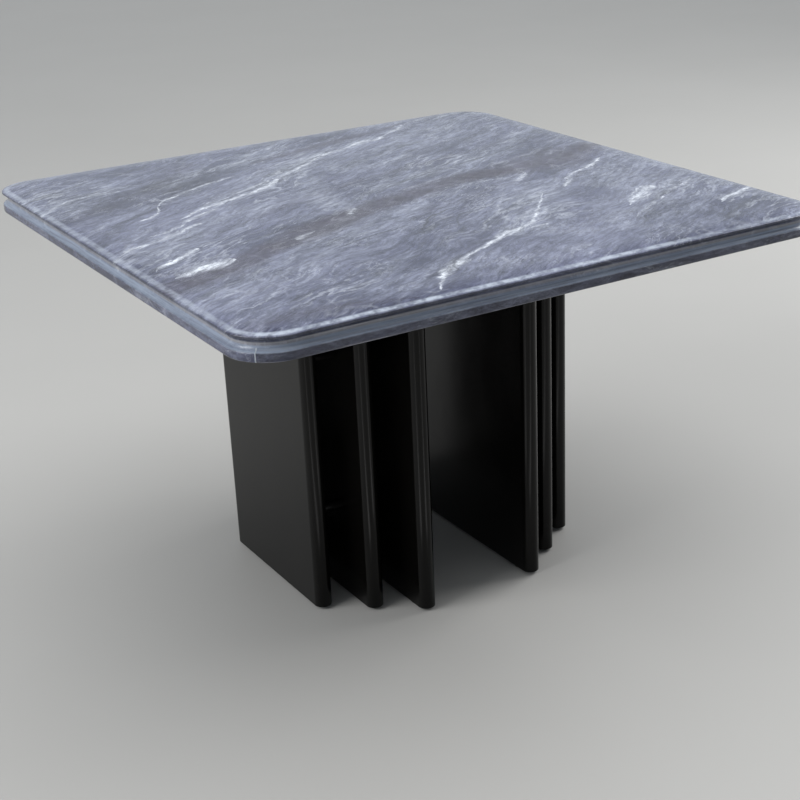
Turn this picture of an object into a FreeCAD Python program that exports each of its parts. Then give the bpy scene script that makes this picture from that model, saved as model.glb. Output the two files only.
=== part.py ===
import FreeCAD, Part
import math
import os

# Square stone dining table on two groups of three upright fins.
# Units are millimetres, +Z is up, the floor is z = 0 and the origin is under
# the middle of the top. The fins run front to back, along Y.

# overall sizes
TOP_SIDE = 1200.0
TABLE_HEIGHT = 750.0

# stone top: one slab with a frame of strips glued under its edge
SLAB_THICKNESS = 25.0
STRIP_HEIGHT = 22.0
STRIP_WIDTH = 60.0
CORNER_RADIUS = 80.0
MITRE_GAP = 0.4

# the top face falls away in a shallow curve to a rim all round
EASED_WIDTH = 50.0
EASED_DROP = 5.0

# moulded edge: the groove starts this far below the rim and runs on past the
# joint between slab and strips
RIM_ARRIS = 2.0
GROOVE_START = 3.5
GROOVE_BELOW_JOINT = 6.0
GROOVE_DEPTH = 9.0
GROOVE_ARRIS = 0.8
LOWER_ARRIS = 4.0
INNER_ARRIS = 1.0

# board under the slab that ties the fins together
BOARD_THICKNESS = 18.0
BOARD_CLEARANCE = 3.0
BOARD_CORNER = 6.0
PAD_THICKNESS = 2.0
PAD_DIAMETER = 25.0
PADS_PER_ROW = 4
PAD_INSET = 42.0

# fins
FIN_THICKNESS = 35.0
FIN_GAP = 46.0
CENTRE_GAP = 215.0
OUTER_FIN_LENGTH = 370.0
FIN_LENGTH_STEP = 125.0
FIN_ARRIS = 1.5

# round spacers between the fins and the tie rods through them
SPACER_DIAMETER = 22.0
SPACER_SETBACK = 40.0
SPACER_END_DISTANCE = 194.0
TIE_DIAMETER = 8.0
TIE_CLEARANCE = 0.25
TIE_EMBEDMENT = 22.0
TIE_END_CLEARANCE = 1.0

# screws through the board into the fins
SCREW_DIAMETER = 7.0
SCREW_HEAD_DIAMETER = 14.0
SCREW_HEAD_SINK = 0.5
SCREW_EMBEDMENT = 45.0
SCREW_SETBACK = 70.0
SCREW_CLEARANCE = 0.25
HEX_SOCKET_WIDTH = 4.0
HEX_SOCKET_DEPTH = 3.0

# glides under the fins
GLIDE_HEIGHT = 6.0
GLIDE_DIAMETER = 26.0
GLIDE_ARRIS = 1.5
GLIDE_SETBACK = 50.0
GLIDE_PIN_DIAMETER = 6.0
GLIDE_PIN_LENGTH = 18.0
GLIDE_PIN_CLEARANCE = 0.15

# the cutters stand this far outside the stone
CUT_MARGIN = 2.0

# places that follow from the sizes
SLAB_BOTTOM = TABLE_HEIGHT - SLAB_THICKNESS
STRIP_BOTTOM = SLAB_BOTTOM - STRIP_HEIGHT
RIM_Z = TABLE_HEIGHT - EASED_DROP
GROOVE_TOP_Z = RIM_Z - GROOVE_START
GROOVE_BOTTOM_Z = SLAB_BOTTOM - GROOVE_BELOW_JOINT
BOARD_TOP = SLAB_BOTTOM - PAD_THICKNESS
BOARD_BOTTOM = BOARD_TOP - BOARD_THICKNESS
BOARD_SIDE = TOP_SIDE - 2.0 * (STRIP_WIDTH + BOARD_CLEARANCE)
FIN_BOTTOM = GLIDE_HEIGHT
FIN_TOP = BOARD_BOTTOM
FIN_PITCH = FIN_THICKNESS + FIN_GAP
INNER_FIN_X = (CENTRE_GAP + FIN_THICKNESS) / 2.0
SPACER_Y = OUTER_FIN_LENGTH / 2.0 - SPACER_SETBACK

# name, steps out from the inner fin
FINS = (("inner", 0), ("middle", 1), ("outer", 2))
SIDES = (("left", -1.0), ("right", 1.0))
ENDS = (("front", -1.0), ("rear", 1.0))
LEVELS = (
    ("lower", FIN_BOTTOM + SPACER_END_DISTANCE),
    ("upper", FIN_TOP - SPACER_END_DISTANCE),
)

Z_AXIS = FreeCAD.Vector(0, 0, 1)
X_AXIS = FreeCAD.Vector(1, 0, 0)


def point(x, y, z):
    return FreeCAD.Vector(x, y, z)


def square_block(side, corner, bottom, top):
    """Upright square block about the Z axis with rounded corners."""
    block = Part.makeBox(side, side, top - bottom, point(-side / 2.0, -side / 2.0, bottom))
    if corner > 0.0:
        upright = [e for e in block.Edges if abs(e.tangentAt(e.FirstParameter).z) > 0.5]
        block = block.makeFillet(corner, upright)
    return block


def level_edges(shape, z):
    """Edges of the shape that lie wholly at height z."""
    return [e for e in shape.Edges if abs(e.BoundBox.ZMin - z) < 1e-4 and abs(e.BoundBox.ZMax - z) < 1e-4]


def outer_edges(edges):
    """Those of the edges that run round the outside of the top."""
    reach = TOP_SIDE / 2.0 - CORNER_RADIUS
    return [e for e in edges if max(abs(e.BoundBox.Center.x), abs(e.BoundBox.Center.y)) > reach]


def round_top(x, y, z, diameter, height):
    return Part.makeCylinder(diameter / 2.0, height, point(x, y, z), Z_AXIS)


def bar_along_x(x, y, z, diameter, length):
    return Part.makeCylinder(diameter / 2.0, length, point(x, y, z), X_AXIS)


# ---------------------------------------------------------------- stone top

def easing_section(x):
    """Section, in the plane at x, of what the curved fall to the rim takes off."""
    face_y = -TOP_SIDE / 2.0
    outside_y = face_y - CUT_MARGIN
    above_z = TABLE_HEIGHT + CUT_MARGIN
    radius = (EASED_WIDTH ** 2 + EASED_DROP ** 2) / (2.0 * EASED_DROP)
    half_turn = math.asin(EASED_WIDTH / radius) / 2.0
    inner = point(x, face_y + EASED_WIDTH, TABLE_HEIGHT)
    middle = inner + point(0, -radius * math.sin(half_turn), radius * (math.cos(half_turn) - 1.0))
    rim = point(x, face_y, RIM_Z)
    outline = Part.Wire([
        Part.Arc(inner, middle, rim).toShape(),
        Part.makeLine(rim, point(x, outside_y, RIM_Z)),
        Part.makeLine(point(x, outside_y, RIM_Z), point(x, outside_y, above_z)),
        Part.makeLine(point(x, outside_y, above_z), point(x, inner.y, above_z)),
        Part.makeLine(point(x, inner.y, above_z), inner),
    ])
    return Part.Face(outline)


def groove_section(x):
    """Section of the scotia groove across the front side, in the plane at x."""
    face_y = -TOP_SIDE / 2.0
    outside_y = face_y - CUT_MARGIN
    middle_z = (GROOVE_TOP_Z + GROOVE_BOTTOM_Z) / 2.0
    upper = point(x, face_y, GROOVE_TOP_Z)
    deepest = point(x, face_y + GROOVE_DEPTH, middle_z)
    lower = point(x, face_y, GROOVE_BOTTOM_Z)
    upper_out = point(x, outside_y, GROOVE_TOP_Z)
    lower_out = point(x, outside_y, GROOVE_BOTTOM_Z)
    outline = Part.Wire([
        Part.Arc(upper, deepest, lower).toShape(),
        Part.makeLine(lower, lower_out),
        Part.makeLine(lower_out, upper_out),
        Part.makeLine(upper_out, upper),
    ])
    return Part.Face(outline)


def carried_round(section):
    """Cutters with the given section, round all four sides and corners."""
    reach = TOP_SIDE / 2.0 - CORNER_RADIUS
    straight = section(-reach).extrude(point(2.0 * reach, 0, 0))
    corner = section(reach).revolve(point(reach, -reach, 0), Z_AXIS, 90)
    cutters = []
    for turn in range(4):
        for piece in (straight, corner):
            turned = piece.copy()
            turned.rotate(point(0, 0, 0), Z_AXIS, 90.0 * turn)
            cutters.append(turned)
    return cutters


def cut_groove(shape):
    grooved = shape.cut(carried_round(groove_section)).removeSplitter()
    edges = outer_edges(level_edges(grooved, GROOVE_TOP_Z) + level_edges(grooved, GROOVE_BOTTOM_Z))
    return grooved.makeFillet(GROOVE_ARRIS, edges)


def stone_slab():
    slab = square_block(TOP_SIDE, CORNER_RADIUS, SLAB_BOTTOM, TABLE_HEIGHT)
    slab = slab.cut(carried_round(easing_section)).removeSplitter()
    slab = slab.makeFillet(RIM_ARRIS, level_edges(slab, RIM_Z))
    return cut_groove(slab)


def edge_frame():
    """All four edge strips before they are parted at the mitres."""
    frame = square_block(TOP_SIDE, CORNER_RADIUS, STRIP_BOTTOM, SLAB_BOTTOM)
    frame = frame.makeFillet(LOWER_ARRIS, level_edges(frame, STRIP_BOTTOM))
    opening = square_block(TOP_SIDE - 2.0 * STRIP_WIDTH, 0.0, STRIP_BOTTOM, SLAB_BOTTOM)
    frame = cut_groove(frame.cut(opening))
    inner = TOP_SIDE / 2.0 - STRIP_WIDTH
    rim = [e for e in level_edges(frame, STRIP_BOTTOM)
           if max(abs(e.BoundBox.Center.x), abs(e.BoundBox.Center.y)) < inner + INNER_ARRIS]
    return frame.makeFillet(INNER_ARRIS, rim)


def edge_strips():
    """Front, right, rear and left strips, with a glue gap at each mitre."""
    frame = edge_frame()
    reach = TOP_SIDE
    tip = -MITRE_GAP / math.sqrt(2.0)
    wedge = Part.Face(Part.makePolygon([
        point(0, tip, STRIP_BOTTOM),
        point(-reach, tip - reach, STRIP_BOTTOM),
        point(reach, tip - reach, STRIP_BOTTOM),
        point(0, tip, STRIP_BOTTOM),
    ])).extrude(point(0, 0, STRIP_HEIGHT))
    front = frame.common(wedge)
    strips = {}
    for turn, name in enumerate(("front", "right", "rear", "left")):
        strip = front.copy()
        strip.rotate(point(0, 0, 0), Z_AXIS, 90.0 * turn)
        strips["edge_strip_" + name] = strip
    return strips


# ------------------------------------------------------------- fin positions

def fin_length(step):
    return OUTER_FIN_LENGTH + (2 - step) * FIN_LENGTH_STEP


def fin_x(side, step):
    return side * (INNER_FIN_X + step * FIN_PITCH)


def end_y(step, end, setback):
    """Distance of a fitting from the middle of a fin, set back from its end."""
    return end * (fin_length(step) / 2.0 - setback)


def every_fin():
    return [(side_name, side, name, step) for side_name, side in SIDES for name, step in FINS]


def tie_span():
    """Length of a tie rod, from inside the inner fin to inside the outer fin."""
    return FIN_THICKNESS + 2.0 * FIN_GAP + 2.0 * TIE_EMBEDMENT


def tie_start_x(side):
    """Lowest x of a tie rod in the group on that side."""
    middle = fin_x(side, 1)
    return middle - tie_span() / 2.0


# ---------------------------------------------------------------------- fins

def tie_holes(side):
    allowance = 2.0 * TIE_END_CLEARANCE
    start = tie_start_x(side) - TIE_END_CLEARANCE
    bore = TIE_DIAMETER + 2.0 * TIE_CLEARANCE
    return [bar_along_x(start, end * SPACER_Y, z, bore, tie_span() + allowance)
            for _, end in ENDS for _, z in LEVELS]


def fin_end_holes(side, step):
    """Blind holes for the glide pins below and the board screws above."""
    x = fin_x(side, step)
    pin_hole = GLIDE_PIN_DIAMETER + 2.0 * GLIDE_PIN_CLEARANCE
    pin_depth = GLIDE_PIN_LENGTH + GLIDE_PIN_CLEARANCE
    holes = []
    for _, end in ENDS:
        glide_y = end_y(step, end, GLIDE_SETBACK)
        holes.append(round_top(x, glide_y, FIN_BOTTOM, pin_hole, pin_depth))
        screw_y = end_y(step, end, SCREW_SETBACK)
        holes.append(round_top(x, screw_y, FIN_TOP - SCREW_EMBEDMENT, SCREW_DIAMETER, SCREW_EMBEDMENT))
    return holes


def fin(side, step):
    """Upright board with fully rounded front and rear edges."""
    x = fin_x(side, step)
    radius = FIN_THICKNESS / 2.0
    straight = fin_length(step) / 2.0 - radius
    outline = Part.Wire([
        Part.makeLine(point(x - radius, straight, FIN_BOTTOM), point(x - radius, -straight, FIN_BOTTOM)),
        Part.Arc(point(x - radius, -straight, FIN_BOTTOM), point(x, -straight - radius, FIN_BOTTOM),
                 point(x + radius, -straight, FIN_BOTTOM)).toShape(),
        Part.makeLine(point(x + radius, -straight, FIN_BOTTOM), point(x + radius, straight, FIN_BOTTOM)),
        Part.Arc(point(x + radius, straight, FIN_BOTTOM), point(x, straight + radius, FIN_BOTTOM),
                 point(x - radius, straight, FIN_BOTTOM)).toShape(),
    ])
    body = Part.Face(outline).extrude(point(0, 0, FIN_TOP - FIN_BOTTOM))
    body = body.makeFillet(FIN_ARRIS, level_edges(body, FIN_BOTTOM) + level_edges(body, FIN_TOP))
    return body.cut(fin_end_holes(side, step) + tie_holes(side))


def spacer(side, inner_step, end, z):
    """Tube that holds two neighbouring fins apart, along X."""
    x = fin_x(side, inner_step) + side * FIN_THICKNESS / 2.0
    start = min(x, x + side * FIN_GAP)
    y = end * SPACER_Y
    tube = bar_along_x(start, y, z, SPACER_DIAMETER, FIN_GAP)
    bore = bar_along_x(start, y, z, TIE_DIAMETER + 2.0 * TIE_CLEARANCE, FIN_GAP)
    return tube.cut(bore)


def tie_rods():
    rods = [bar_along_x(tie_start_x(side), end * SPACER_Y, z, TIE_DIAMETER, tie_span())
            for _, side in SIDES for _, end in ENDS for _, z in LEVELS]
    return Part.makeCompound(rods)


# --------------------------------------------------------------------- board

def screw_positions():
    return [(fin_x(side, step), end_y(step, end, SCREW_SETBACK))
            for _, side, _, step in every_fin() for _, end in ENDS]


def countersink(x, y, radius_allowance, top):
    """Cone of a screw head, from its shank up to the given height."""
    head_radius = SCREW_HEAD_DIAMETER / 2.0 + radius_allowance
    shank_radius = SCREW_DIAMETER / 2.0 + radius_allowance
    height = head_radius - shank_radius
    return Part.makeCone(shank_radius, head_radius, height, point(x, y, top - height), Z_AXIS)


def board():
    panel = square_block(BOARD_SIDE, BOARD_CORNER, BOARD_BOTTOM, BOARD_TOP)
    seat_top = BOARD_TOP - SCREW_HEAD_SINK
    cutters = []
    for x, y in screw_positions():
        hole = SCREW_DIAMETER + 2.0 * SCREW_CLEARANCE
        cutters.append(round_top(x, y, BOARD_BOTTOM, hole, BOARD_THICKNESS))
        cutters.append(countersink(x, y, SCREW_CLEARANCE, seat_top))
        head_hole = SCREW_HEAD_DIAMETER + 2.0 * SCREW_CLEARANCE
        cutters.append(round_top(x, y, seat_top, head_hole, SCREW_HEAD_SINK))
    return panel.cut(cutters)


def hex_socket(x, y, top):
    corner = HEX_SOCKET_WIDTH / math.sqrt(3.0)
    corners = [point(x + corner * math.cos(math.radians(60 * k)),
                     y + corner * math.sin(math.radians(60 * k)),
                     top - HEX_SOCKET_DEPTH) for k in range(7)]
    return Part.Face(Part.makePolygon(corners)).extrude(point(0, 0, HEX_SOCKET_DEPTH))


def board_screw(x, y):
    head_top = BOARD_TOP - SCREW_HEAD_SINK
    tip = FIN_TOP - SCREW_EMBEDMENT
    shank = round_top(x, y, tip, SCREW_DIAMETER, head_top - tip)
    screw = shank.fuse(countersink(x, y, 0.0, head_top))
    return screw.cut(hex_socket(x, y, head_top)).removeSplitter()


def board_screws():
    return Part.makeCompound([board_screw(x, y) for x, y in screw_positions()])


def stone_pads():
    """Clear pads in a square grid between the board and the slab."""
    first = -(BOARD_SIDE / 2.0 - PAD_INSET)
    pitch = -2.0 * first / (PADS_PER_ROW - 1)
    places = [first + pitch * k for k in range(PADS_PER_ROW)]
    return Part.makeCompound([round_top(x, y, BOARD_TOP, PAD_DIAMETER, PAD_THICKNESS)
                              for x in places for y in places])


# -------------------------------------------------------------------- glides

def glide(side, step, end):
    """Nylon disc with a pin pushed up into the fin."""
    x = fin_x(side, step)
    y = end_y(step, end, GLIDE_SETBACK)
    disc = round_top(x, y, 0.0, GLIDE_DIAMETER, GLIDE_HEIGHT)
    disc = disc.makeFillet(GLIDE_ARRIS, level_edges(disc, 0.0))
    pin = round_top(x, y, 0.0, GLIDE_PIN_DIAMETER, GLIDE_HEIGHT + GLIDE_PIN_LENGTH)
    return disc.fuse(pin).removeSplitter()


def all_nodes():
    nodes = {"stone_slab": stone_slab()}
    nodes.update(edge_strips())
    nodes["sub_top_board"] = board()
    nodes["board_screws"] = board_screws()
    nodes["stone_pads"] = stone_pads()
    nodes["tie_rods"] = tie_rods()
    for side_name, side, fin_name, step in every_fin():
        nodes["fin_%s_%s" % (side_name, fin_name)] = fin(side, step)
        for end_name, end in ENDS:
            nodes["glide_%s_%s_%s" % (side_name, fin_name, end_name)] = glide(side, step, end)
    for side_name, side in SIDES:
        for gap_name, inner_step in (("inner", 0), ("outer", 1)):
            for end_name, end in ENDS:
                for level_name, z in LEVELS:
                    name = "spacer_%s_%s_%s_%s" % (side_name, gap_name, end_name, level_name)
                    nodes[name] = spacer(side, inner_step, end, z)
    return nodes


def main():
    os.makedirs("parts", exist_ok=True)
    for name, shape in all_nodes().items():
        shape.exportStep("parts/%s.step" % name)


main()
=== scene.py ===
import math

import bpy
from mathutils import Matrix, Vector

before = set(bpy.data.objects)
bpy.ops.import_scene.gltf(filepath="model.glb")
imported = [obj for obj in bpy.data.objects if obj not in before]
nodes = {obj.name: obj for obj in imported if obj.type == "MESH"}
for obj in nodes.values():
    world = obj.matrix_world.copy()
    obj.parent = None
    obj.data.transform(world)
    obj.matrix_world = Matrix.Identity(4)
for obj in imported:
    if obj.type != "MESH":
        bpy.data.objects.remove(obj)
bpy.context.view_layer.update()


# ------------------------------------------------------------ node graphs

class Graph:
    """Builds one node material, taking sockets or plain values alike."""

    def __init__(self, name):
        self.material = bpy.data.materials.new(name)
        self.material.use_nodes = True
        self.tree = self.material.node_tree
        self.tree.nodes.clear()
        self.place = self.add("ShaderNodeTexCoord").outputs["Object"]

    def add(self, kind, **settings):
        node = self.tree.nodes.new(kind)
        for key, value in settings.items():
            setattr(node, key, value)
        return node

    def feed(self, socket, value):
        if isinstance(value, bpy.types.NodeSocket):
            self.tree.links.new(value, socket)
        elif hasattr(value, "__len__") and len(value) == 3 and socket.type == "RGBA":
            socket.default_value = (*value, 1.0)
        else:
            socket.default_value = value

    def math(self, operation, a, b=0.0, clamp=False):
        node = self.add("ShaderNodeMath", operation=operation, use_clamp=clamp)
        self.feed(node.inputs[0], a)
        self.feed(node.inputs[1], b)
        return node.outputs[0]

    def times(self, a, b):
        return self.math("MULTIPLY", a, b)

    def strongest(self, a, b):
        return self.math("MAXIMUM", a, b)

    def apart(self, a, b):
        """How far two values are from each other."""
        return self.math("ABSOLUTE", self.math("SUBTRACT", a, b))

    def vector(self, operation, a, b):
        node = self.add("ShaderNodeVectorMath", operation=operation)
        self.feed(node.inputs[0], a)
        self.feed(node.inputs[1], b)
        return node.outputs["Vector"]

    def scaled(self, a, factor):
        node = self.add("ShaderNodeVectorMath", operation="SCALE")
        self.feed(node.inputs[0], a)
        self.feed(node.inputs["Scale"], factor)
        return node.outputs["Vector"]

    def split(self, vector):
        node = self.add("ShaderNodeSeparateXYZ")
        self.feed(node.inputs[0], vector)
        return node.outputs

    def mapped(self, vector, location=(0, 0, 0), turn=0.0, scale=(1, 1, 1), kind="POINT"):
        node = self.add("ShaderNodeMapping", vector_type=kind)
        self.feed(node.inputs["Vector"], vector)
        node.inputs["Location"].default_value = location
        node.inputs["Rotation"].default_value = (0.0, 0.0, turn)
        node.inputs["Scale"].default_value = scale
        return node.outputs["Vector"]

    def noise(self, where, scale, detail, roughness=0.5, distortion=0.0, colour=False):
        node = self.add("ShaderNodeTexNoise")
        self.feed(node.inputs["Vector"], where)
        node.inputs["Scale"].default_value = scale
        node.inputs["Detail"].default_value = detail
        node.inputs["Roughness"].default_value = roughness
        node.inputs["Distortion"].default_value = distortion
        return node.outputs["Color"] if colour else node.outputs["Fac"]

    def figure(self, where, scale, detail, roughness=0.5, distortion=0.0, offset=(0, 0, 0)):
        """Noise drawn out by its own scale along each axis."""
        return self.noise(self.mapped(where, offset, scale=scale), 1.0, detail, roughness, distortion)

    def step(self, value, low, high, out_low=0.0, out_high=1.0):
        node = self.add("ShaderNodeMapRange", interpolation_type="SMOOTHSTEP")
        self.feed(node.inputs["Value"], value)
        node.inputs["From Min"].default_value = low
        node.inputs["From Max"].default_value = high
        node.inputs["To Min"].default_value = out_low
        node.inputs["To Max"].default_value = out_high
        return node.outputs["Result"]

    def mix(self, factor, a, b, blend="MIX"):
        node = self.add("ShaderNodeMix", data_type="RGBA", blend_type=blend)
        self.feed(node.inputs[0], factor)
        self.feed(node.inputs[6], a)
        self.feed(node.inputs[7], b)
        return node.outputs[2]

    def curve(self, value, points):
        """Smooth curve through points whose two numbers lie between 0 and 1."""
        node = self.add("ShaderNodeFloatCurve")
        self.feed(node.inputs["Value"], value)
        line = node.mapping.curves[0]
        while len(line.points) < len(points):
            line.points.new(0.5, 0.5)
        for spot, place in zip(line.points, points):
            spot.location = place
        node.mapping.update()
        return node.outputs[0]

    def bump(self, height, strength, distance):
        node = self.add("ShaderNodeBump")
        node.inputs["Strength"].default_value = strength
        node.inputs["Distance"].default_value = distance
        self.feed(node.inputs["Height"], height)
        return node.outputs["Normal"]

    def finish(self, **sockets):
        """Feeds the shader's sockets, named with _ for a space, and gives the material."""
        shader = self.add("ShaderNodeBsdfPrincipled")
        for key, value in sockets.items():
            self.feed(shader.inputs[key.replace("_", " ")], value)
        out = self.add("ShaderNodeOutputMaterial")
        self.tree.links.new(shader.outputs[0], out.inputs["Surface"])
        return self.material


# ------------------------------------------------------------------ marble

GRAIN_TURN = math.radians(29)
CM_IN_METRE = 100.0
MM_IN_METRE = 1000.0

# The pale veins are drawn this much wider than listed, because noise frays them
VEIN_SPREAD = 1.35

# A vein keeps this weight even where its list says none
LEAST_WEIGHT = 0.05

# Colours of the stone, and of the painted shade and highlights on its edge
BODY_DARK, BODY_LIGHT = (0.036, 0.041, 0.084), (0.118, 0.127, 0.200)
MIST = (0.250, 0.272, 0.372)
MURK = (0.017, 0.019, 0.036)
SMOKE = (0.028, 0.020, 0.042)
HAZE = (0.36, 0.39, 0.46)
VEIN = (0.66, 0.70, 0.78)
CRACK = (0.014, 0.016, 0.026)
# Painted light and shade in the groove: lighter grey in its upward-facing lower half, warm at its deepest
# part, dark in its downward-facing upper half up to the rim
GROOVE_PAINTED_LIGHT, GROOVE_PAINTED_WARM = (0.270, 0.318, 0.402), (0.262, 0.262, 0.276)
GROOVE_PAINTED_SHADE = (0.022, 0.024, 0.036)
# Painted highlight on the rim and on the arrises of the edge strips
PAINTED_HIGHLIGHT = (0.50, 0.55, 0.64)
GLUE = (0.46, 0.50, 0.55)

# What the fibres and the flecks multiply the colour by
FIBRE_DARK, FIBRE_LIGHT = (0.66, 0.66, 0.68), (1.36, 1.35, 1.32)
FLECK_DARK, FLECK_LIGHT = 0.45, 1.55

# Soft limits of the bands on the edge where painted shade, painted highlights and the glued line go, in
# metres above the floor
GROOVE_FROM, GROOVE_TO = (0.7185, 0.7200), (0.7456, 0.7444)
WARM_FROM = (0.7270, 0.7300)
SHADE_FROM = (0.7325, 0.7355)
RIM_FROM, RIM_TO = (0.7453, 0.7463), (0.7480, 0.7470)
LIP_FROM, LIP_TO = (0.7174, 0.7188), (0.7206, 0.7194)
FOOT_TO = (0.7056, 0.7036)
JOINT_TO = (0.7262, 0.7248)

# Half the width of the glued line at a mitre, from its faint side to its full one
GLUE_HALF_WIDTH = (0.0017, 0.0011)

# Pale veins of the slab, in centimetres from the middle of the top. Each one
# has a width in millimetres, a strength, and the points that it runs through:
# x, y and the vein's weight there.
PALE_VEINS = [
    (11, 1.0, [(-57, -19, 0.0), (-53, -16, 0.9), (-49, -13.5, 1.0), (-45.5, -11, 0.0)]),
    (27, 1.0, [(-56, -24.5, 0.0), (-52, -23, 0.8), (-48, -21.8, 1.0), (-43, -20.5, 0.0)]),
    (8, 0.5, [(-51, -25, 0.0), (-48.5, -22, 1.0), (-46.5, -20.5, 0.0)]),
    (12, 0.8, [(-61, -9, 0.5), (-55, -4, 1.0), (-50, -2.5, 0.6), (-45, 0.5, 0.9), (-38, 4, 0.2)]),
    (10, 0.7, [(-50, 1, 0.0), (-43, 4, 0.7), (-38, 8.5, 1.0), (-34, 10.5, 0.6), (-28, 12, 0.0)]),
    (11, 1.0, [(-40, 9, 0.0), (-35, 12.5, 0.5), (-29, 15.3, 0.6), (-21, 18.5, 0.8), (-14, 22.3, 1.0),
               (-11, 25, 0.3)]),
    (8, 0.7, [(-24, 19.5, 0.0), (-18, 22.5, 0.7), (-12, 26, 0.6), (-9, 28, 0.0)]),
    (16, 0.8, [(-13, 23, 0.0), (-7.5, 28.5, 0.7), (0, 33.2, 0.6), (3.5, 36.5, 1.0), (8, 39, 0.9),
               (14, 41, 0.4), (18, 43.5, 1.0), (24, 44.5, 0.8), (28, 47, 0.2), (32, 50, 0.6),
               (36, 53, 0.0)]),
    (8, 0.8, [(-47, 13, 0.0), (-43.5, 14.5, 0.7), (-41, 17, 0.4), (-39.5, 20.5, 0.4), (-37, 24, 0.5),
              (-34, 25.5, 0.9), (-30, 28, 0.8), (-21, 32, 0.7), (-17, 33, 0.0)]),
    (10, 0.7, [(-62, 28.5, 0.4), (-58, 31, 0.8), (-54, 34.5, 0.9), (-48, 36.8, 0.5), (-43.5, 36.6, 0.9),
               (-41, 37, 0.0)]),
    (14, 0.45, [(-30, 37, 0.0), (-22, 40.5, 0.7), (-14, 43, 1.0), (-8, 46.5, 0.9), (-3, 51, 1.0),
                (3, 56, 0.6)]),
    (10, 0.5, [(-9, 43, 0.0), (-2, 46, 0.7), (6, 47.5, 0.3), (12, 50, 0.0)]),
    (15, 1.0, [(-24, -56.5, 0.1), (-20, -51.5, 0.5), (-16.5, -47.8, 1.0), (-12.5, -45.8, 0.9),
               (-9.5, -44, 0.45), (-5, -41.5, 0.5), (1, -37.8, 0.7), (4, -36.3, 0.8), (9, -35.2, 0.5),
               (13, -31.5, 0.45), (18, -26, 0.3), (24, -18, 0.0)]),
    (9, 0.7, [(-3, -40, 0.0), (3, -38, 0.6), (8, -36.8, 0.7), (12, -36.5, 0.0)]),
    (26, 0.35, [(3, -37, 0.3), (8, -33.5, 1.0), (14, -28, 0.9), (20, -22, 0.6), (26, -15, 0.3)]),
    (12, 0.5, [(8, -31, 0.0), (9, -26, 0.8), (12, -21, 0.6), (16, -16, 0.7), (19, -13, 0.0)]),
    (11, 0.9, [(31, -17, 0.0), (34, -13.5, 0.9), (37, -10.3, 0.8), (41, -8, 0.5), (45, -6.4, 0.9),
               (48.5, -4.5, 0.8), (51, -2, 0.0)]),
    (9, 0.4, [(26, -18, 0.0), (31, -14.5, 0.8), (36, -11, 0.9), (38, -10, 0.0)]),
    (13, 0.8, [(26, -7, 0.0), (28.5, -5.3, 1.0), (30.5, -3.5, 0.5), (31, -1, 0.0)]),
    (12, 0.6, [(15, -4, 0.0), (17.5, -3.3, 0.9), (21, -3, 0.5), (25, -3.5, 0.0)]),
    (26, 1.0, [(32, -36, 0.0), (35, -33.5, 0.45), (38.5, -31, 0.9), (41, -29, 1.0), (44.5, -27, 0.0)]),
    (12, 0.6, [(28, -43, 0.0), (35, -38.5, 0.6), (40, -35.5, 0.8), (44, -32.7, 0.9), (50, -30, 0.6),
               (56, -26.5, 0.5), (60, -25, 0.2)]),
    (13, 1.0, [(47, -45, 0.0), (50, -43, 0.7), (54, -41.5, 0.9), (58, -40, 0.7), (61, -38, 0.3)]),
    (22, 0.22, [(36, -24, 0.0), (42, -21, 0.9), (50, -19, 1.0), (60, -14, 0.6)]),
    (12, 0.9, [(-13, -8, 0.0), (-11.3, -6.3, 1.0), (-10.2, -4.5, 0.0)]),
    (34, 0.20, [(-10, -6, 0.0), (-12.5, 0, 0.9), (-11.5, 6, 1.0), (-13, 12, 0.4)]),
    (9, 0.8, [(-29, -17, 0.0), (-27.5, -16, 1.0), (-25.5, -15.2, 0.7), (-24, -14, 0.0)]),
    (10, 0.4, [(4, 1, 0.0), (12.5, 3.8, 0.8), (24, 6.4, 0.9), (36, 9, 1.0), (45, 12, 0.9), (52, 17, 0.7),
               (60, 22, 0.3)]),
    (10, 0.35, [(-58, -6.5, 0.0), (-50, 4, 0.8), (-40, 10, 0.4)]),
    (11, 0.45, [(-42, -13, 0.0), (-40, -11.5, 1.0), (-37, -9, 0.6), (-31, -8, 0.0)]),
    (26, 0.25, [(9, -40, 0.0), (14, -44, 0.9), (20, -46.5, 0.9), (27, -50, 0.5), (30, -56, 0.2)]),
    (20, 0.20, [(16, -41, 0.0), (25, -41.5, 0.9), (33, -44, 0.7), (38, -46, 0.0)]),
    (14, 0.35, [(38, 20, 0.0), (46, 25, 0.8), (53, 31, 1.0), (58, 37, 0.4)]),
    (12, 0.35, [(-57, -46, 0.0), (-52, -42, 0.8), (-46, -38.5, 0.6), (-40, -37, 0.0)]),
    (9, 0.4, [(-61, 8, 0.0), (-56, 11, 0.9), (-52, 15, 0.0)]),
]

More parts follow.
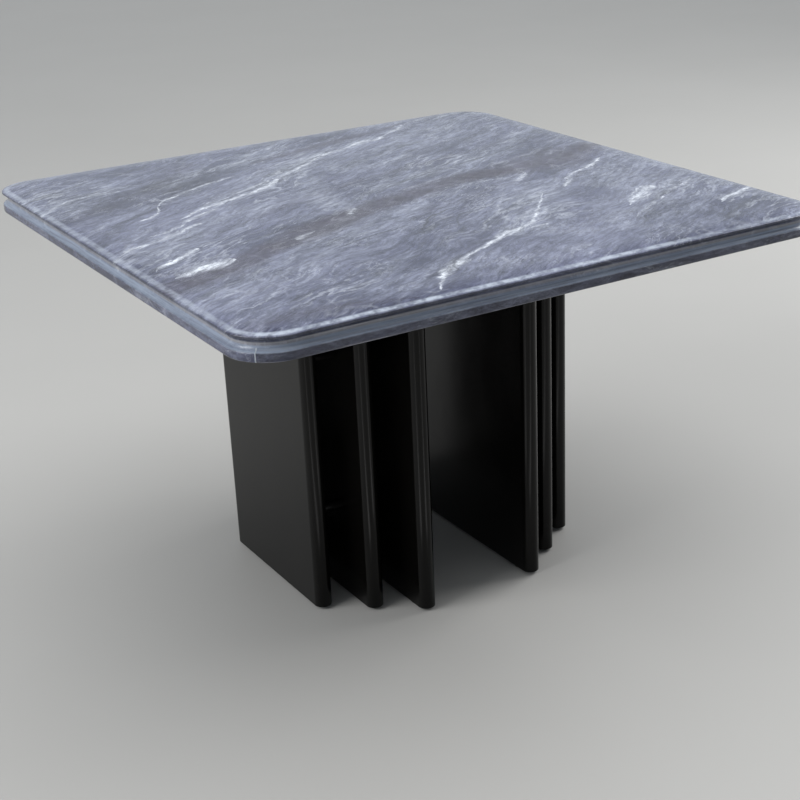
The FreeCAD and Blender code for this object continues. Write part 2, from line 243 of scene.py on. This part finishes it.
# Smoky bands of the slab, given the same way
SMOKY_BANDS = [
    (70, 0.80, [(-66, -31, 0.9), (-52, -27, 0.9), (-43, -23.5, 0.8), (-35, -19, 0.7), (-26, -14.5, 1.0),
                (-17, -10.5, 1.0), (-8, -6.5, 0.8), (3, -3, 0.8), (14, 0.5, 0.8), (28, 2.5, 0.7)]),
    (120, 0.65, [(22, 0, 0.2), (32, 1.5, 0.7), (42, 3, 1.0), (50, 6, 0.8), (60, 10, 0.3)]),
    (40, 0.45, [(-10, 41, 0.0), (3, 44.5, 0.9), (14, 48, 1.0), (26, 51, 0.8), (38, 55, 0.0)]),
    (34, 0.30, [(-34, -2, 0.0), (-24, 3, 0.7), (-10, 9, 1.0), (4, 14, 0.7), (16, 17, 0.9), (30, 20, 0.5)]),
    (150, 0.28, [(-60, 20, 0.8), (-48, 26, 1.0), (-34, 35, 1.0), (-20, 50, 0.7)]),
    (70, 0.35, [(-62, -56, 0.8), (-50, -54, 1.0), (-38, -55, 0.5), (-28, -58, 0.0)]),
    (60, 0.25, [(-6, -16, 0.0), (6, -14, 0.9), (18, -9, 1.0), (28, -8, 0.4)]),
]

# Pale haze over the slab, given the same way
PALE_HAZE = [
    (70, 0.45, [(-34, 12, 0.0), (-22, 20, 0.8), (-8, 29, 1.0), (8, 40, 0.9), (24, 46, 0.6), (34, 52, 0.0)]),
    (150, 0.30, [(0, 22, 0.0), (14, 30, 0.8), (30, 38, 1.0), (46, 48, 1.0), (58, 56, 0.8)]),
    (80, 0.35, [(-58, -12, 0.6), (-48, -5, 1.0), (-36, 4, 1.0), (-24, 8, 0.7), (-14, 9, 0.0)]),
    (90, 0.30, [(-40, -34, 0.0), (-28, -26, 0.9), (-16, -18, 1.0), (-6, -13, 0.7), (4, -10, 0.0)]),
    (90, 0.42, [(4, -40, 0.2), (10, -33, 1.0), (17, -25, 0.9), (24, -17, 0.7), (34, -10, 0.0)]),
    (110, 0.35, [(22, -44, 0.3), (34, -36, 0.9), (46, -29, 1.0), (60, -22, 0.9)]),
    (110, 0.35, [(34, -20, 0.2), (44, -17, 0.9), (54, -13, 1.0), (62, -9, 0.8)]),
    (60, 0.30, [(-2, 4, 0.0), (12, 9, 0.8), (26, 13, 1.0), (40, 19, 0.9), (56, 29, 0.7)]),
    (90, 0.25, [(-60, -42, 0.6), (-48, -35, 1.0), (-36, -31, 0.6), (-26, -30, 0.0)]),
    (50, 0.35, [(-11, -6, 0.2), (-12, 0, 0.9), (-11.5, 8, 1.0), (-8, 16, 0.7), (-4, 24, 0.0)]),
    (60, 0.30, [(-62, 26, 0.6), (-54, 31, 1.0), (-44, 37, 0.6), (-36, 40, 0.0)]),
    (60, 0.30, [(-34, 34, 0.0), (-24, 40, 0.9), (-12, 44, 1.0), (0, 52, 0.8), (8, 58, 0.4)]),
]

# Dark hairline cracks of the slab, given the same way
DARK_CRACKS = [
    (4, 0.8, [(-9, -28, 0.0), (-5, -22, 0.9), (-3, -20, 1.0), (3, -17, 0.8), (8, -16.5, 0.0)]),
    (4, 0.6, [(-27, -27, 0.0), (-20, -24, 0.9), (-12, -22, 0.8), (-6, -21, 0.0)]),
    (5, 0.6, [(-1, -27, 0.0), (1, -23.5, 0.9), (6, -20, 0.5), (14, -17, 0.0)]),
    (4, 0.6, [(-16, -50, 0.0), (-15, -46.5, 1.0), (-12, -44, 0.0)]),
    (5, 0.5, [(-48, 10, 0.0), (-38, 14, 0.8), (-25, 18, 0.6), (-12, 26, 0.0)]),
    (5, 0.5, [(-4, 2, 0.0), (8, 7, 0.9), (20, 11, 0.8), (38, 16, 0.9), (56, 26, 0.3)]),
]


def streak(graph, place, width, strength, points):
    """Mask of one vein that runs through the points, as wide as its weights say."""
    x0, y0 = points[0][0] / CM_IN_METRE, points[0][1] / CM_IN_METRE
    x1, y1 = points[-1][0] / CM_IN_METRE, points[-1][1] / CM_IN_METRE
    turn = math.atan2(y1 - y0, x1 - x0)
    length = math.hypot(x1 - x0, y1 - y0)
    local = graph.mapped(place, (x0, y0, 0.0), turn, (length, length, 1.0), "TEXTURE")
    along, across = graph.split(local)[:2]
    path, weights = [], []
    for x, y, weight in points:
        dx, dy = x / CM_IN_METRE - x0, y / CM_IN_METRE - y0
        share = (dx * math.cos(turn) + dy * math.sin(turn)) / length
        aside = (dy * math.cos(turn) - dx * math.sin(turn)) / length
        path.append((share, aside + 0.5))
        weights.append((share, weight))
    off = graph.apart(graph.math("ADD", across, 0.5), graph.curve(along, path))
    weight = graph.math("ADD", graph.curve(along, weights), LEAST_WEIGHT)
    reach = graph.times(weight, width / MM_IN_METRE / length)
    near = graph.math("SUBTRACT", 1.0, graph.math("DIVIDE", off, reach), clamp=True)
    # 1 within half a length of the vein's middle, so between its ends, and 0 beyond
    inside = graph.math("COMPARE", along, 0.5)
    inside.node.inputs[2].default_value = 0.5
    return graph.times(graph.times(near, inside), strength)


def all_of(graph, place, streaks):
    """The strongest of many streaks at each point."""
    mask = None
    for width, strength, points in streaks:
        one = streak(graph, place, width, strength, points)
        mask = one if mask is None else graph.strongest(mask, one)
    return mask


def ridge(graph, value, sharpness):
    """1 along the middle value of a noise, falling off to both sides."""
    off = graph.apart(value, 0.5)
    return graph.math("POWER", graph.math("SUBTRACT", 1.0, graph.times(off, 2.0)), sharpness)


def centred(graph, where, scale, detail, roughness=0.5):
    """Noise vector that swings both ways about nought."""
    swing = graph.noise(where, scale, detail, roughness, colour=True)
    return graph.vector("SUBTRACT", swing, (0.5, 0.5, 0.5))


def plan(graph, nudge):
    """The nudged place with its height left out."""
    return graph.vector("MULTIPLY", graph.vector("ADD", graph.place, nudge), (1.0, 1.0, 0.0))


def stone_body(g, along):
    """Blue-grey ground, with paler mist and darker murk drawn out along the grain."""
    clouds = g.figure(along, (2.0, 5.5, 5.5), 5.0, 0.6)
    body = g.mix(g.step(clouds, 0.3, 0.7), BODY_DARK, BODY_LIGHT)
    mist = g.figure(along, (6.0, 26.0, 26.0), 8.0, 0.68, offset=(5.3, 0.7, 2.4))
    body = g.mix(g.step(mist, 0.42, 0.70, 0.0, 0.62), body, MIST)
    murk = g.figure(along, (3.4, 19.0, 19.0), 7.0, 0.64, offset=(3.1, 1.7, 0.4))
    return g.mix(g.step(murk, 0.52, 0.70, 0.0, 0.66), body, MURK)


def faint_veins(g, stone, along):
    """Wisps, threads and a net of fine pale lines, each of them in patches."""
    wide = g.figure(along, (3.2, 12.0, 12.0), 6.0, 0.62, 0.3, (7.3, 2.9, 1.1))
    wisp_patches = g.step(g.noise(stone, 4.2, 2.0), 0.47, 0.62)
    wisps = g.times(g.step(ridge(g, wide, 20.0), 0.2, 1.0, 0.0, 0.30), wisp_patches)
    fine = g.figure(along, (10.0, 34.0, 34.0), 6.0, 0.65, 0.5, (1.9, 8.3, 5.1))
    thread_patches = g.step(g.noise(stone, 7.5, 2.0), 0.46, 0.66)
    threads = g.times(g.step(ridge(g, fine, 24.0), 0.25, 1.0, 0.0, 0.30), thread_patches)

    cells = g.add("ShaderNodeTexVoronoi", feature="DISTANCE_TO_EDGE")
    g.feed(cells.inputs["Vector"], g.mapped(along, scale=(13.0, 27.0, 27.0)))
    cells.inputs["Scale"].default_value = 1.0
    lines = g.step(cells.outputs["Distance"], 0.10, 0.0, 0.0, 0.20)
    net_patches = g.step(g.noise(stone, 3.4, 3.0), 0.50, 0.64)
    fading = g.step(g.noise(stone, 21.0, 3.0), 0.38, 0.66)
    net = g.times(lines, g.times(net_patches, fading))
    return g.strongest(g.strongest(wisps, threads), net)


def faint_cracks(g, stone, along):
    hairlines = g.figure(along, (12.0, 46.0, 46.0), 6.0, 0.66, 0.8, (4.4, 4.4, 2.2))
    patches = g.step(g.noise(stone, 5.5, 2.0), 0.44, 0.62)
    return g.times(g.step(ridge(g, hairlines, 34.0), 0.25, 1.0, 0.0, 0.6), patches)


def slab_figure(g, stone, along, flutter, body, veins):
    """Adds the slab's own smoke, haze and veins, and gives its own cracks as well."""
    wobble = g.scaled(centred(g, stone, 13.0, 4.0, 0.62), 0.022)
    wobble = g.vector("ADD", wobble, g.scaled(flutter, 0.014))
    wobble = g.vector("ADD", wobble, g.scaled(centred(g, stone, 110.0, 3.0, 0.6), 0.006))
    tight = plan(g, wobble)
    loose = plan(g, g.scaled(flutter, 0.030))

    patchy = g.step(g.noise(along, 9.0, 6.0, 0.65), 0.28, 0.62, 0.55, 1.0)
    bands = g.step(all_of(g, loose, SMOKY_BANDS), 0.08, 0.62)
    smoke = g.times(bands, g.times(patchy, 0.9))
    body = g.mix(smoke, body, SMOKE)
    veins = g.times(veins, g.math("SUBTRACT", 1.0, g.times(smoke, 0.75)))

    fibres = g.figure(along, (14.0, 62.0, 62.0), 8.0, 0.72, offset=(2.2, 6.1, 0.9))
    haze = g.times(all_of(g, loose, PALE_HAZE), g.step(fibres, 0.38, 0.63, 0.05, 1.15))
    body = g.mix(haze, body, HAZE)

    spread = [(VEIN_SPREAD * width, strength, points) for width, strength, points in PALE_VEINS]
    chosen = all_of(g, tight, spread)
    torn = g.figure(along, (30.0, 130.0, 130.0), 7.0, 0.74)
    frayed = g.math("ADD", chosen, g.times(g.math("SUBTRACT", torn, 0.5), 2.3))
    faded = g.step(g.noise(stone, 24.0, 4.0, 0.6), 0.38, 0.60, 0.42, 1.0)
    core = g.times(g.step(frayed, 0.36, 0.95), g.times(g.step(chosen, 0.10, 0.60), faded))
    halo = g.times(chosen, g.step(fibres, 0.40, 0.62, 0.04, 0.62))
    veins = g.strongest(veins, g.strongest(core, halo))
    return body, veins, all_of(g, tight, DARK_CRACKS)


def edge_shading_and_glue(g, stone, colour):
    """Painted shade and light in the groove, painted highlights on the arrises, and the glued line at the
    mitres.
    """
    side, depth, height = g.split(g.place)[:3]
    groove = g.times(g.step(height, *GROOVE_FROM), g.step(height, *GROOVE_TO))
    # Painted light in the groove's lower half and painted shade in its upper half up to the rim, in faint
    # layers
    groove_shade_and_light = g.mix(g.step(height, *WARM_FROM), GROOVE_PAINTED_LIGHT, GROOVE_PAINTED_WARM)
    groove_shade_and_light = g.mix(g.step(height, *SHADE_FROM), groove_shade_and_light, GROOVE_PAINTED_SHADE)
    layers = g.step(g.figure(g.place, (9.0, 9.0, 420.0), 4.0), 0.3, 0.7, 0.45, 0.85)
    colour = g.mix(g.times(groove, layers), colour, groove_shade_and_light)

    # Painted highlights: along the rim, strongest near the front and fainter to the right, and fainter ones
    # on the lip's upper arris and on the bottom arris, broken up by noise
    near_front = g.step(depth, -0.50, -0.585, 0.40, 1.0)
    near_front = g.times(near_front, g.step(side, 0.35, 0.10, 0.35, 1.0))
    rim = g.times(g.step(height, *RIM_FROM), g.step(height, *RIM_TO))
    lip = g.times(g.step(height, *LIP_FROM), g.step(height, *LIP_TO))
    foot = g.step(height, *FOOT_TO, 0.0, 0.55)
    highlight_mask = g.strongest(g.times(rim, near_front), g.times(g.strongest(lip, foot), 0.22))
    highlight_breakup = g.step(g.noise(stone, 45.0, 5.0, 0.65), 0.34, 0.60, 0.25, 0.95)
    colour = g.mix(g.times(highlight_mask, highlight_breakup), colour, PAINTED_HIGHLIGHT)

    from_mitre = g.apart(g.math("ABSOLUTE", side), g.math("ABSOLUTE", depth))
    glued = g.times(g.step(from_mitre, *GLUE_HALF_WIDTH), g.step(height, *JOINT_TO))
    return g.mix(g.times(glued, 0.8), colour, GLUE)


def marble(name, shift=(0.0, 0.0, 0.0), turn=GRAIN_TURN, tone=1.0, drawn=False):
    """Marble with its grain along turn; tone below 1 darkens all of it as painted shade; drawn adds the
    slab's own veins.
    """
    g = Graph(name)
    stone = g.vector("ADD", g.place, shift)
    drift = centred(g, stone, 4.5, 3.0)
    flutter = centred(g, stone, 34.0, 4.0, 0.6)
    bent = g.vector("ADD", stone, g.scaled(drift, 0.09))
    bent = g.vector("ADD", bent, g.scaled(flutter, 0.010))
    along = g.mapped(bent, turn=-turn)

    body = stone_body(g, along)
    veins = faint_veins(g, stone, along)
    cracks = faint_cracks(g, stone, along)
    if drawn:
        body, veins, own_cracks = slab_figure(g, stone, along, flutter, body, veins)
        cracks = g.strongest(cracks, own_cracks)
    colour = g.mix(veins, body, VEIN)
    colour = g.mix(cracks, colour, CRACK)

    threadlike = g.figure(along, (26.0, 130.0, 130.0), 7.0, 0.7, offset=(8.8, 1.2, 6.6))
    fibrous = g.mix(g.step(threadlike, 0.34, 0.66), FIBRE_DARK, FIBRE_LIGHT)
    colour = g.mix(1.0, colour, fibrous, "MULTIPLY")
    flecks = g.figure(along, (150.0, 300.0, 300.0), 4.0, 0.75)
    # tone darkens the whole colour here as painted shade
    speckled_and_side_shaded = g.mix(flecks, (FLECK_DARK * tone,) * 3, (FLECK_LIGHT * tone,) * 3)
    colour = g.mix(1.0, colour, speckled_and_side_shaded, "MULTIPLY")
    colour = edge_shading_and_glue(g, stone, colour)

    roughness = g.step(g.noise(stone, 60.0, 4.0), 0.3, 0.7, 0.17, 0.27)
    relief = g.math("SUBTRACT", g.times(flecks, 0.25), cracks)
    normal = g.bump(relief, 0.10, 0.0006)
    return g.finish(Base_Color=colour, Roughness=roughness, Normal=normal, IOR=1.5)


# ----------------------------------------------------------------- lacquer

def lacquer(name, shift):
    """Black lacquer with smears and a little dust, more of it near the floor."""
    g = Graph(name)
    spot = g.vector("ADD", g.place, shift)
    height = g.split(g.place)[2]
    tone = g.figure(spot, (6.0, 6.0, 2.0), 4.0)
    colour = g.mix(tone, (0.0012, 0.0011, 0.0010), (0.0030, 0.0027, 0.0023))
    dust = g.step(g.noise(spot, 900.0, 2.0, 0.7), 0.66, 0.74)
    settled = g.step(g.noise(spot, 14.0, 3.0), 0.45, 0.75)
    low = g.step(height, 0.22, 0.0)
    share = g.math("ADD", g.times(low, 0.5), 0.12)
    colour = g.mix(g.times(g.times(dust, settled), share), colour, (0.16, 0.155, 0.145))
    smears = g.figure(spot, (9.0, 9.0, 4.0), 6.0, 0.6)
    roughness = g.step(smears, 0.3, 0.75, 0.17, 0.25)
    peel = g.noise(spot, 170.0, 2.0, 0.45)
    normal = g.bump(peel, 0.02, 0.0006)
    return g.finish(Base_Color=colour, Roughness=roughness, Normal=normal, IOR=1.28)


# --------------------------------------------------------- small materials

def black_stained_ply():
    g = Graph("stained_ply")
    fibres = g.figure(g.place, (3.0, 90.0, 400.0), 6.0, 0.6, 0.6)
    colour = g.mix(fibres, (0.012, 0.010, 0.009), (0.055, 0.047, 0.040))
    normal = g.bump(fibres, 0.25, 0.0006)
    roughness = g.step(fibres, 0.3, 0.7, 0.55, 0.8)
    return g.finish(Base_Color=colour, Roughness=roughness, Normal=normal)


def black_nylon():
    g = Graph("black_nylon")
    grit = g.noise(g.place, 1500.0, 2.0, 0.7)
    tone = g.noise(g.place, 90.0, 3.0)
    colour = g.mix(tone, (0.014, 0.014, 0.014), (0.040, 0.038, 0.036))
    roughness = g.step(grit, 0.3, 0.7, 0.45, 0.65)
    normal = g.bump(grit, 0.15, 0.0003)
    return g.finish(Base_Color=colour, Roughness=roughness, Normal=normal)


def zinc():
    g = Graph("zinc_steel")
    lines = g.figure(g.place, (60.0, 900.0, 900.0), 4.0)
    colour = g.mix(lines, (0.42, 0.42, 0.41), (0.62, 0.62, 0.60))
    roughness = g.step(lines, 0.3, 0.7, 0.25, 0.45)
    return g.finish(Base_Color=colour, Roughness=roughness, Metallic=1.0)


def silicone():
    g = Graph("clear_silicone")
    cloud = g.noise(g.place, 300.0, 3.0)
    colour = g.mix(cloud, (0.55, 0.55, 0.53), (0.72, 0.72, 0.70))
    roughness = g.step(cloud, 0.3, 0.7, 0.3, 0.45)
    return g.finish(Base_Color=colour, Roughness=roughness)


# ---------------------------------------------------------------- dressing

LACQUER_BATCHES = 3


def dress(node, material):
    mesh = nodes[node].data
    mesh.materials.clear()
    mesh.materials.append(material)


dress("stone_slab", marble("slab_marble", drawn=True))
# The last number of each strip is painted shade: the front strip darkest, the rear and right ones less, the
# left one least
strip_finish = {
    "front": marble("front_strip_marble", (0.37, 0.21, 0.02), math.radians(4), 0.42),
    "rear": marble("rear_strip_marble", (-0.81, 1.33, 0.04), math.radians(-3), 0.68),
    "left": marble("left_strip_marble", (1.72, -0.64, 0.01), math.radians(92), 0.74),
    "right": marble("right_strip_marble", (-2.16, 0.48, 0.03), math.radians(87), 0.68),
}
for name, material in strip_finish.items():
    dress("edge_strip_" + name, material)

plain = {
    "sub_top_board": black_stained_ply(),
    "board_screws": zinc(),
    "tie_rods": zinc(),
    "stone_pads": silicone(),
}
nylon = black_nylon()
for node in nodes:
    if node in plain:
        dress(node, plain[node])
    elif node.startswith("glide_"):
        dress(node, nylon)

black = [n for n in sorted(nodes) if n.startswith(("fin_", "spacer_"))]
batches = range(LACQUER_BATCHES)
finishes = [lacquer("lacquer_%d" % k, (1.7 * k, 0.9 * k, 0.3 * k)) for k in batches]
for k, node in enumerate(black):
    dress(node, finishes[k % LACQUER_BATCHES])


# ------------------------------------------------------------------- stage

# The camera: metres, radians and, for lens and sensor, millimetres
EYE = (-1.489, -2.567, 1.520)
YAW, PITCH, ROLL = math.radians(-32.79), math.radians(22.22), math.radians(-1.64)
LENS, SENSOR = 69.45, 36.0
SIDE_SHIFT = -0.08

FLOOR_HALF = 30.0
FLOOR_DARK, FLOOR_LIGHT = (0.405, 0.398, 0.382), (0.430, 0.423, 0.407)

SUN_POWER = 1.5
SUN_ANGLE = math.radians(75)
SUN_WAY = (0.10, 0.05, 0.99)
SKY_COLOUR = (0.86, 0.93, 1.0, 1.0)
WINDOW_SIZE, WINDOW_POWER = (3.2, 2.4), 165.0

# Narrow lights on the floor, measured from the front ends of the left fins
NOSES = (-0.125, -0.31)
STRIP_SIZE, STRIP_POWER = (1.5, 0.11), 0.9
STRIP_HEIGHT = 0.02
STRIP_DISTANCE = 1.05


def floor():
    mesh = bpy.data.meshes.new("floor")
    square = ((-1, -1), (1, -1), (1, 1), (-1, 1))
    mesh.from_pydata([(x * FLOOR_HALF, y * FLOOR_HALF, 0) for x, y in square], [], [(0, 1, 2, 3)])
    plane = bpy.data.objects.new("floor", mesh)
    bpy.context.scene.collection.objects.link(plane)
    g = Graph("floor_paint")
    colour = g.mix(g.noise(g.place, 1.5, 3.0), FLOOR_DARK, FLOOR_LIGHT)
    mesh.materials.append(g.finish(Base_Color=colour, Roughness=0.6))


def softbox(name, place, target, size, power):
    data = bpy.data.lights.new(name, "AREA")
    data.shape = "RECTANGLE"
    data.size, data.size_y = size
    data.energy = power
    light = bpy.data.objects.new(name, data)
    light.location = place
    light.rotation_euler = (Vector(target) - Vector(place)).to_track_quat("-Z", "Y").to_euler()
    bpy.context.scene.collection.objects.link(light)
    return light


def floor_strip(name, bearing):
    """A narrow light that lies on the floor, facing up, and runs away from the fins."""
    way = Vector((-math.sin(bearing), -math.cos(bearing), 0.0))
    middle = Vector((*NOSES, STRIP_HEIGHT)) + way * STRIP_DISTANCE
    light = softbox(name, middle, middle + Vector((0.0, 0.0, 1.0)), STRIP_SIZE, STRIP_POWER)
    light.rotation_euler = (math.pi, 0.0, math.atan2(way.y, way.x))
    light.visible_camera = False


def soft_sun():
    data = bpy.data.lights.new("soft_sun", "SUN")
    data.energy = SUN_POWER
    data.angle = SUN_ANGLE
    sun = bpy.data.objects.new("soft_sun", data)
    sun.rotation_euler = Vector(SUN_WAY).to_track_quat("Z", "Y").to_euler()
    bpy.context.scene.collection.objects.link(sun)


def camera():
    """Looks at the table from the front left, from above the top."""
    data = bpy.data.cameras.new("camera")
    data.sensor_width = SENSOR
    data.lens = LENS
    data.shift_x = SIDE_SHIFT
    eye = bpy.data.objects.new("camera", data)
    tilt = Matrix.Rotation(math.pi / 2 - PITCH, 4, "X")
    turn = Matrix.Rotation(YAW, 4, "Z") @ tilt @ Matrix.Rotation(ROLL, 4, "Z")
    eye.matrix_world = Matrix.Translation(EYE) @ turn
    bpy.context.scene.collection.objects.link(eye)
    bpy.context.scene.camera = eye


def daylight():
    """Pale sky that is brighter low down, behind the table and to its left."""
    world = bpy.data.worlds.new("studio")
    world.use_nodes = True
    tree = world.node_tree
    background = tree.nodes["Background"]
    background.inputs["Color"].default_value = SKY_COLOUR
    split = tree.nodes.new("ShaderNodeSeparateXYZ")
    tree.links.new(tree.nodes.new("ShaderNodeTexCoord").outputs["Generated"], split.inputs[0])
    side, depth, height = split.outputs[:3]

    def ramp(socket, low, high, out_low, out_high):
        node = tree.nodes.new("ShaderNodeMapRange")
        node.interpolation_type = "SMOOTHSTEP"
        tree.links.new(socket, node.inputs["Value"])
        node.inputs["From Min"].default_value = low
        node.inputs["From Max"].default_value = high
        node.inputs["To Min"].default_value = out_low
        node.inputs["To Max"].default_value = out_high
        return node.outputs["Result"]

    def both(operation, a, b):
        node = tree.nodes.new("ShaderNodeMath")
        node.operation = operation
        tree.links.new(a, node.inputs[0])
        tree.links.new(b, node.inputs[1])
        return node.outputs[0]

    wall = ramp(depth, -0.05, 0.55, 0.0, 0.52)
    wall = both("MULTIPLY", ramp(height, 0.60, 0.36, 0.0, 1.0), wall)
    left = ramp(side, -0.35, -0.85, 0.0, 0.55)
    left = both("MULTIPLY", ramp(height, 0.75, 0.45, 0.0, 1.0), left)
    band = ramp(height, 0.22, 0.06, 0.0, 0.45)
    pale = both("MAXIMUM", band, both("MAXIMUM", wall, left))
    sky = ramp(height, 0.0, 1.0, 0.20, 0.26)
    tree.links.new(both("ADD", pale, sky), background.inputs["Strength"])
    bpy.context.scene.world = world


floor()
camera()
daylight()
soft_sun()
softbox("left_window", (-4.6, 0.1, 3.0), (-0.2, 0.0, 0.3), WINDOW_SIZE, WINDOW_POWER)
softbox("right_window", (4.5, -0.2, 3.3), (0.2, 0.0, 0.3), WINDOW_SIZE, WINDOW_POWER)
floor_strip("left_floor_strip", math.radians(60))
floor_strip("front_floor_strip", math.radians(-12))
bpy.context.scene.view_settings.view_transform = "Standard"
